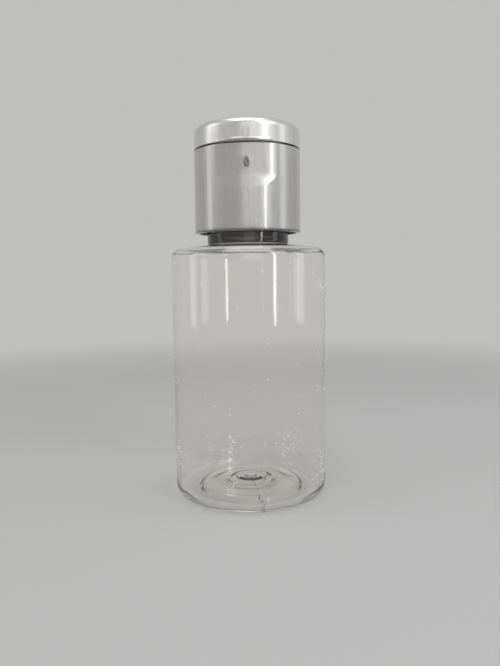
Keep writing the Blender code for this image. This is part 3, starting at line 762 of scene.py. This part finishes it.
def make_flow_mark_and_shade_group():
    """A dark smudge as a mask, used both for flow marks where the flake turned on its way into the mould
    and for painted shade.

    Fork opens the smudge into a leaf's outline, and Bow curves it into a crescent.
    """
    group = bpy.data.node_groups.new("flow_mark_and_shade", "ShaderNodeTree")
    for label, kind in (
        ("Centre", "Vector"), ("Stretch", "Vector"), ("Fork", "Float"), ("Bow", "Float"),
        ("Wobble", "Float"),
    ):
        group.interface.new_socket(label, in_out="INPUT", socket_type=f"NodeSocket{kind}")
    group.interface.new_socket("Mask", in_out="OUTPUT", socket_type="NodeSocketFloat")
    given = add_node(group, "NodeGroupInput").outputs
    output = add_node(group, "NodeGroupOutput")
    place = add_node(group, "ShaderNodeTexCoord").outputs["Object"]
    off = add_node(
        group, "ShaderNodeVectorMath", [(0, place), (1, given["Centre"])], operation="SUBTRACT"
    ).outputs[0]
    off = add_node(
        group, "ShaderNodeVectorMath", [(0, off), (1, given["Stretch"])], operation="MULTIPLY"
    ).outputs[0]
    parts = add_node(group, "ShaderNodeSeparateXYZ", [(0, off)]).outputs
    curve = maths(group, "MULTIPLY", maths(group, "MULTIPLY", parts["X"], parts["X"]), given["Bow"])
    up = maths(group, "SUBTRACT", parts["Z"], curve)
    spread = maths(group, "SUBTRACT", 1.0, maths(group, "MULTIPLY", up, up), clamp=True)
    spread = maths(group, "MULTIPLY", spread, given["Fork"])
    across = maths(group, "SUBTRACT", maths(group, "ABSOLUTE", parts["X"]), spread)
    across = maths(group, "MAXIMUM", across, maths(group, "MULTIPLY", across, -0.45))
    off = add_node(group, "ShaderNodeCombineXYZ", [(0, across), (1, parts["Y"]), (2, up)]).outputs[0]
    away = add_node(group, "ShaderNodeVectorMath", [(0, off)], operation="LENGTH").outputs["Value"]
    wave = add_node(group, "ShaderNodeTexNoise", [("Vector", place), ("Scale", 1800.0), ("Detail", 2.0)])
    wave = maths(group, "SUBTRACT", wave.outputs["Fac"], 0.5)
    away = maths(group, "MULTIPLY_ADD", wave, given["Wobble"], away)
    mask = add_node(
        group, "ShaderNodeMapRange", [("Value", away), ("From Min", 1.0), ("From Max", 0.35)],
        interpolation_type="SMOOTHSTEP",
    ).outputs["Result"]
    darker_below = maths(group, "MULTIPLY_ADD", up, -0.35, 0.85)
    group.links.new(maths(group, "MULTIPLY", mask, darker_below, clamp=True), output.inputs["Mask"])
    return group


def make_flake_group():
    """Metal flake in plastic: fine grain, slow swirls and faint upright draw lines."""
    group = bpy.data.node_groups.new("metal_flake", "ShaderNodeTree")
    for label, default in (
        ("Grain Scale", 5200.0), ("Swirl Scale", 170.0), ("Line Scale", 2600.0), ("Band Scale", 700.0)
    ):
        socket = group.interface.new_socket(label, in_out="INPUT", socket_type="NodeSocketFloat")
        socket.default_value = default
    for label in ("Brightness", "Height"):
        group.interface.new_socket(label, in_out="OUTPUT", socket_type="NodeSocketFloat")
    given = add_node(group, "NodeGroupInput").outputs
    output = add_node(group, "NodeGroupOutput")
    place = add_node(group, "ShaderNodeTexCoord").outputs["Object"]
    grain = add_node(
        group, "ShaderNodeTexNoise", [("Vector", place), ("Scale", given["Grain Scale"]), ("Detail", 1.0)]
    ).outputs["Fac"]
    swirl = add_node(
        group, "ShaderNodeTexNoise",
        [("Vector", place), ("Scale", given["Swirl Scale"]), ("Detail", 3.0), ("Distortion", 1.2)],
    ).outputs["Fac"]
    upright = add_node(group, "ShaderNodeMapping", [("Vector", place), ("Scale", (1, 1, 0.03))]).outputs[0]
    line = add_node(
        group, "ShaderNodeTexNoise", [("Vector", upright), ("Scale", given["Line Scale"]), ("Detail", 2.0)]
    ).outputs["Fac"]
    bright = maths(group, "MULTIPLY_ADD", grain, 0.20, maths(group, "MULTIPLY_ADD", swirl, 0.16, 0.81))
    band = add_node(
        group, "ShaderNodeTexNoise", [("Vector", upright), ("Scale", given["Band Scale"]), ("Detail", 1.0)]
    ).outputs["Fac"]
    bright = maths(group, "MULTIPLY_ADD", line, 0.16, maths(group, "SUBTRACT", bright, 0.08))
    bright = maths(group, "MULTIPLY_ADD", band, 0.18, maths(group, "SUBTRACT", bright, 0.09))
    group.links.new(bright, output.inputs["Brightness"])
    group.links.new(maths(group, "MULTIPLY_ADD", grain, 0.5, line), output.inputs["Height"])
    return group


def make_silver_material(name, colour, marks):
    """Satin silver polypropylene: flake under a smooth skin, with dark marks and handling marks.

    The dark marks are flow marks and painted shade; each is (centre, stretch, fork, bow, wobble, how
    dark).
    """
    satin, smeared, scratched = 0.32, 0.05, 0.15  # roughness, and what the marks add to it
    material, output = new_material(name)
    tree = material.node_tree
    flake = add_node(tree, "ShaderNodeGroup", node_tree=metal_flake).outputs
    worn = add_node(
        tree, "ShaderNodeGroup",
        [("Scratch Scale", 700.0), ("Scratch Share", 0.6), ("Smear Scale", 150.0)],
        node_tree=handling_marks,
    ).outputs
    bright = flake["Brightness"]
    for *values, depth in marks:
        mark = add_node(tree, "ShaderNodeGroup", enumerate(values), node_tree=flow_mark_and_shade)
        kept = maths(tree, "MULTIPLY_ADD", mark.outputs["Mask"], -depth, 1.0)
        bright = maths(tree, "MULTIPLY", bright, kept)
    tint = add_node(tree, "ShaderNodeVectorMath", [(0, colour)], operation="SCALE")
    tree.links.new(bright, tint.inputs["Scale"])
    rough = maths(tree, "MULTIPLY_ADD", worn["Smears"], smeared, satin)
    rough = maths(tree, "MULTIPLY_ADD", worn["Scratches"], scratched, rough)
    bump = add_node(
        tree, "ShaderNodeBump",
        [("Height", flake["Height"]), ("Strength", 0.10), ("Distance", 0.02 * MM)],
    )
    silver = add_node(
        tree, "ShaderNodeBsdfPrincipled",
        [
            ("Base Color", tint.outputs[0]),
            ("Metallic", 0.8),
            ("Roughness", rough),
            ("Normal", bump.outputs[0]),
            ("Coat Weight", 0.9),
            ("Coat Roughness", 0.05),
            ("Coat IOR", 1.75),
        ],
    )
    tree.links.new(silver.outputs[0], output.inputs["Surface"])
    return material


flow_mark_and_shade = make_flow_mark_and_shade_group()
metal_flake = make_flake_group()
base_silver = make_silver_material(
    "silver_closure_base", SILVER_COLOUR,
    # a flow mark at the gate
    [((0, -9.75 * MM, GATE_Z), (1150, 300, 650), 0, 0, 0.2, 0.75),
     # painted shade: a crescent below the gate's boss, where its lower side turns down
     ((0, -9.75 * MM, GATE_Z - 1.75 * MM), (480, 300, 1900), 0, 0.45, 0.5, 0.18),
     # painted shade round the skirt's lower edge, darker within about 0.7 mm of it
     ((0, 0, SKIRT_BOTTOM_Z), (0, 0, 1500), 0, 0, 0.1, 0.75)],
)
closure_columns = columns_round(
    100,
    [(-math.pi / 2 % math.tau, math.radians(37), math.radians(0.55)),
     (-math.pi / 2 % math.tau, math.radians(3.6), math.radians(0.24)),
     (math.pi / 2, math.radians(27), math.radians(0.5))],
)


def screw_part(name, rows, relief, material, thread=None, closed=False):
    """A turned piece with its relief and, where it has one, its thread, as a plain mesh."""
    mesh = turned_mesh(name, rows, closure_columns, relief, closed)
    piece = linked(bpy.data.objects.new(name, mesh))
    if thread:
        finished(piece, thread_tree, {**thread, "Material": material})
    else:
        mesh.materials.append(material)
    piece.data.shade_smooth()
    piece.data.set_sharp_from_angle(angle=SHARP_ANGLE)
    return piece


closure_thread = {
    "Height": -0.9 * MM, "Turns": 1.25, "Upper End": 59.075 * MM, "End Angle": THREAD_END_ANGLE,
    "Root Width": 1.3 * MM, "Crest Width": 0.5 * MM,
}
closure_shell = screw_part(
    "closure_shell", closure_base_rows(), closure_base_relief, base_silver, closure_thread, closed=True
)
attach(closure_shell, "closure")
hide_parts("closure_base", "spout")


# Flip lid.
# The same moulding's other half: a shallow cup with a rounded top edge, a thumb lip in front, a
# locking ring that snaps into the dish, and a pin that plugs the spout's orifice.

LID_TOP_Z = 71.2 * MM
LID_BOTTOM_Z = 66.85 * MM
LID_CEILING_Z = 70.1 * MM
LIP_REACH = 0.5 * MM
LIP_HEIGHT = 0.7 * MM
LIP_EDGE = 0.15 * MM
lip_bow = bow_through_wall(CLOSURE_RADIUS + LIP_REACH, RECESS_HALF_WIDTH)


def lid_relief(tag, r, z, angle):
    """The thumb lip in front, and the lid's hinge pad and pockets behind."""
    if tag not in ("wall", "mouth"):
        return r
    turn = front_angle(angle)
    up = z - LID_BOTTOM_Z - SEAM_SETBACK
    if abs(turn) < math.pi / 3 and 0 <= up <= LIP_HEIGHT:
        share = max(0.0, (up - LIP_EDGE) / (LIP_HEIGHT - LIP_EDGE))
        fall = LIP_REACH * 1.3 * math.sin(share * math.pi / 2) + max(0.0, LIP_EDGE - up) / 2
        r = max(r, bowed_face(turn, CLOSURE_RADIUS + LIP_REACH - fall, lip_bow))
    return pad_reach(r, back_angle(angle), z - LID_BOTTOM_Z)


def lid_rows():
    """Half section of the lid from the middle of its top round to the tip of the sealing pin."""
    pin = 1.1 * MM
    corners = [
        (0, LID_TOP_Z, 0, "top"),
        (CLOSURE_RADIUS - 0.06 * MM, LID_TOP_Z, 1.40 * MM, "wall"),
        (CLOSURE_RADIUS, LID_BOTTOM_Z, 0.10 * MM, "mouth"),
        (SKIRT_BORE, LID_BOTTOM_Z, 0.08 * MM, "inside"),
        (SKIRT_BORE, LID_CEILING_Z, 0.20 * MM, "inside"),
        (8.70 * MM, LID_CEILING_Z, 0.15 * MM, "inside"),
        (8.70 * MM, 66.35 * MM, 0.10 * MM, "ring"),
        (8.82 * MM, 66.10 * MM, 0.08 * MM, "ring"),
        (8.70 * MM, 65.85 * MM, 0.08 * MM, "ring"),
        (8.00 * MM, 65.85 * MM, 0.15 * MM, "inside"),
        (8.00 * MM, LID_CEILING_Z, 0.35 * MM, "inside"),
        (pin, LID_CEILING_Z, 0.30 * MM, "inside"),
        (pin, 66.35 * MM, 0.10 * MM, "inside"),
        (0.75 * MM, 66.0 * MM, 0.12 * MM, "inside"),
        (0, 66.0 * MM, 0, "inside"),
    ]
    fine = {"wall": 0.10 * MM, "ring": 0.12 * MM, "mouth": 0.10 * MM}
    return filleted(corners, 0.5 * MM, fine)


# Painted light: the lid is the same silver plastic as the base, coloured lighter to stand in for the light
# its wall catches from above. Its one dark mark is a flow mark across the thumb lip.
lid_silver_painted_lighter = make_silver_material(
    "silver_lid", (0.65, 0.64, 0.62),
    [((0, -10.3 * MM, 68.35 * MM), (3400, 300, 560), 1.9, 0, 0.6, 0.30)],
)
lid_shell = screw_part("lid_shell", lid_rows(), lid_relief, lid_silver_painted_lighter)
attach(lid_shell, "lid")
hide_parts("flip_lid")


# Hinge.
# A thin web of the same moulding in the middle, which bends as the lid turns, and a spring strap
# on each side of it, which snaps over and holds the lid shut or wide open.

HINGE_AXIS = (10.5 * MM, SEAM_Z)  # y, z
FILM_HALF_WIDTH = 2.1 * MM
FILM_RADIUS = 0.45 * MM
FILM_THICKNESS = 0.3 * MM
STRAP_MIDDLE_X = 3.15 * MM
STRAP_HALF_WIDTH = 0.55 * MM
STRAP_THICKNESS = 0.35 * MM


def band_mesh(name, path, thickness, half_width, middle_x, edge):
    """A flat band with rounded edges, swept along a path of (y, z), with its ends capped."""
    corner = [(1, 1), (-1, 1), (-1, -1), (1, -1)]
    section = []
    for index, (side, face) in enumerate(corner):
        for step in range(4):
            turn = math.radians(90 * index + 30 * step)
            section.append((
                side * (half_width - edge) + edge * math.cos(turn),
                face * (thickness / 2 - edge) + edge * math.sin(turn),
            ))
    bm = bmesh.new()
    rings = []
    for i, (y, z) in enumerate(path):
        before, after = path[max(i - 1, 0)], path[min(i + 1, len(path) - 1)]
        run = Vector((after[0] - before[0], after[1] - before[1])).normalized()
        out = Vector((run.y, -run.x))
        rings.append([
            bm.verts.new((middle_x + across, y + out.x * off, z + out.y * off))
            for across, off in section
        ])
    for low, high in zip(rings, rings[1:]):
        for i in range(len(section)):
            j = (i + 1) % len(section)
            bm.faces.new((low[i], low[j], high[j], high[i]))
    bm.faces.new(rings[0])
    bm.faces.new(rings[-1])
    bmesh.ops.recalc_face_normals(bm, faces=bm.faces)
    mesh = bpy.data.meshes.new(name)
    bm.to_mesh(mesh)
    bm.free()
    mesh.shade_smooth()
    mesh.set_sharp_from_angle(angle=math.radians(50))
    return mesh


def place_band(name, node, path, thickness, half_width, middle_x, edge):
    """Makes a band that bends from the closure to the lid between two heights."""
    mesh = band_mesh(name, path, thickness, half_width, middle_x, edge)
    mesh.materials.append(hinge_silver)
    band = linked(bpy.data.objects.new(name, mesh))
    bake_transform(band)
    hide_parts(node)


def film_path():
    y, z = HINGE_AXIS
    inside_pad = PAD_FACE_Y - 0.12 * MM
    bend = [
        (y + FILM_RADIUS * math.cos(turn), z + FILM_RADIUS * math.sin(turn))
        for turn in (math.radians(-90 + 180 * i / 24) for i in range(25))
    ]
    return [(inside_pad, z - FILM_RADIUS), *bend, (inside_pad, z + FILM_RADIUS)]


def strap_path():
    """Upright in the pockets and bowed out a little over the seam; the ends run into the pads."""
    reach = 1.55 * MM
    bow = 0.3 * MM
    foot_y = 10.075 * MM
    path = []
    for i in range(33):
        share = 2 * i / 32 - 1
        path.append((foot_y + bow * max(0.0, 1 - (share * 1.15) ** 2), SEAM_Z + reach * share))
    return path


# The hinge bands are darker in colour round the middle of the seam, where they bend between the closure
# and the lid.
hinge_silver = make_silver_material(
    "silver_hinge", SILVER_COLOUR, [((0, 10.9 * MM, SEAM_Z), (300, 900, 900), 0, 0, 0.5, 0.2)]
)
place_band(
    "film_web", "hinge_film", film_path(), FILM_THICKNESS, FILM_HALF_WIDTH, middle_x=0,
    edge=0.08 * MM,
)
for hand, side in (("left", -1), ("right", 1)):
    place_band(
        f"spring_strap_{hand}", f"hinge_strap_{hand}", strap_path(), STRAP_THICKNESS, STRAP_HALF_WIDTH,
        middle_x=side * STRAP_MIDDLE_X, edge=0.09 * MM,
    )


# Sealing liner.
# A washer punched from white polyethylene foam, held under the deck by a bead in the bore. It
# seals against the bottle's lip when the closure is screwed home.

LINER_BOTTOM_Z = 62.4 * MM
LINER_TOP_Z = 63.2 * MM
LINER_RADIUS = 8.85 * MM
LINER_HOLE = 4.2 * MM


def make_foam_material():
    """White closed-cell foam: matt, finely pitted and a little uneven in tone."""
    material, output = new_material("white_foam")
    tree = material.node_tree
    place = add_node(tree, "ShaderNodeTexCoord").outputs["Object"]
    cells = add_node(
        tree, "ShaderNodeTexVoronoi", [("Vector", place), ("Scale", 4200.0)]
    ).outputs["Distance"]
    tone = add_node(
        tree, "ShaderNodeTexNoise", [("Vector", place), ("Scale", 500.0), ("Detail", 3.0)]
    ).outputs["Fac"]
    shade = add_node(tree, "ShaderNodeMapRange", [("Value", tone), ("To Min", 0.80), ("To Max", 0.92)])
    colour = add_node(tree, "ShaderNodeVectorMath", [(0, (1.0, 1.0, 0.975))], operation="SCALE")
    tree.links.new(shade.outputs["Result"], colour.inputs["Scale"])
    bump = add_node(
        tree, "ShaderNodeBump", [("Height", cells), ("Strength", 0.5), ("Distance", 0.05 * MM)]
    )
    foam = add_node(
        tree, "ShaderNodeBsdfPrincipled",
        [("Base Color", colour.outputs[0]), ("Roughness", 0.85), ("Normal", bump.outputs[0])],
    )
    tree.links.new(foam.outputs[0], output.inputs["Surface"])
    return material


liner_rows = filleted(
    [
        (LINER_HOLE, LINER_BOTTOM_Z, 0.10 * MM, "face"),
        (LINER_RADIUS, LINER_BOTTOM_Z, 0.15 * MM, "edge"),
        (LINER_RADIUS, LINER_TOP_Z, 0.15 * MM, "face"),
        (LINER_HOLE, LINER_TOP_Z, 0.10 * MM, "edge"),
    ],
    0.4 * MM, closed=True,
)
liner_mesh = turned_mesh("foam_washer", liner_rows, columns_round(120), closed=True)
liner_mesh.materials.append(make_foam_material())
liner = linked(bpy.data.objects.new("foam_washer", liner_mesh))
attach(liner, "liner")
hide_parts("sealing_liner")
